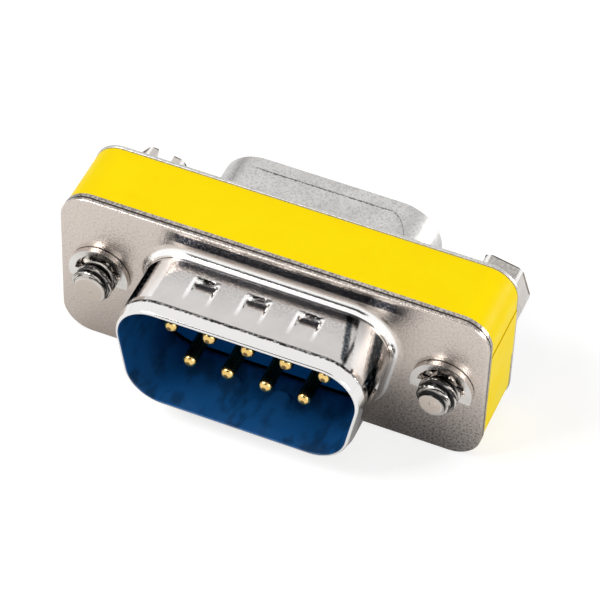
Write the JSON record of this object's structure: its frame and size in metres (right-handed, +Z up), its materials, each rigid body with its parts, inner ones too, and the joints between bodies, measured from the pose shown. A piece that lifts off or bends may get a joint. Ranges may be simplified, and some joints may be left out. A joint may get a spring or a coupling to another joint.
{
  "type": "d-sub gender changer",
  "caption": "Slim d-sub gender changer with a plug shell and blue insulator at the front, a socket at the back, captive jackscrews and a plain yellow band round the body.",
  "frame": {"origin": "centre of the plug flange's front face, midway between the jackscrews", "axes": "+X along the flanges through both screws, +Y from the plug to the socket, +Z up on the side with the longer row of contacts"},
  "size_m": [0.0308, 0.0168, 0.0128],
  "materials": {
    "bright_nickel": "bright nickel plate on pressed steel",
    "satin_nickel": "satin nickel plate on pressed steel",
    "blue_plastic": "moulded, slightly glossy",
    "white_plastic": "moulded, matt",
    "yellow_film": "glossy printed film",
    "gold_plate": "gold flash on turned brass",
    "screw_nickel": "nickel plate on turned steel",
    "spring_steel": "bright stamped spring steel"
  },
  "bodies": {
    "connector": {"front_shell": "bright_nickel", "front_backing_plate": "bright_nickel", "rear_shell": "satin_nickel", "front_insulator": "blue_plastic", "rear_insulator": "blue_plastic", "spacer_body": "white_plastic", "label_band": "yellow_film", "contact_1": "gold_plate", "contact_2": "gold_plate", "contact_3": "gold_plate", "contact_4": "gold_plate", "contact_5": "gold_plate", "contact_6": "gold_plate", "contact_7": "gold_plate", "contact_8": "gold_plate", "contact_9": "gold_plate"},
    "left_screw": {"left_jackscrew": "screw_nickel", "left_retaining_ring": "spring_steel"},
    "right_screw": {"right_jackscrew": "screw_nickel", "right_retaining_ring": "spring_steel"}
  },
  "joints": [
    {"name": "left_screw_turn", "type": "hinge", "parent": "connector", "child": "left_screw", "pos_m": [-0.01249, 0, 0], "axis": [0, 1, 0], "continuous": true},
    {"name": "right_screw_turn", "type": "hinge", "parent": "connector", "child": "right_screw", "pos_m": [0.01249, 0, 0], "axis": [0, 1, 0], "continuous": true}
  ]
}
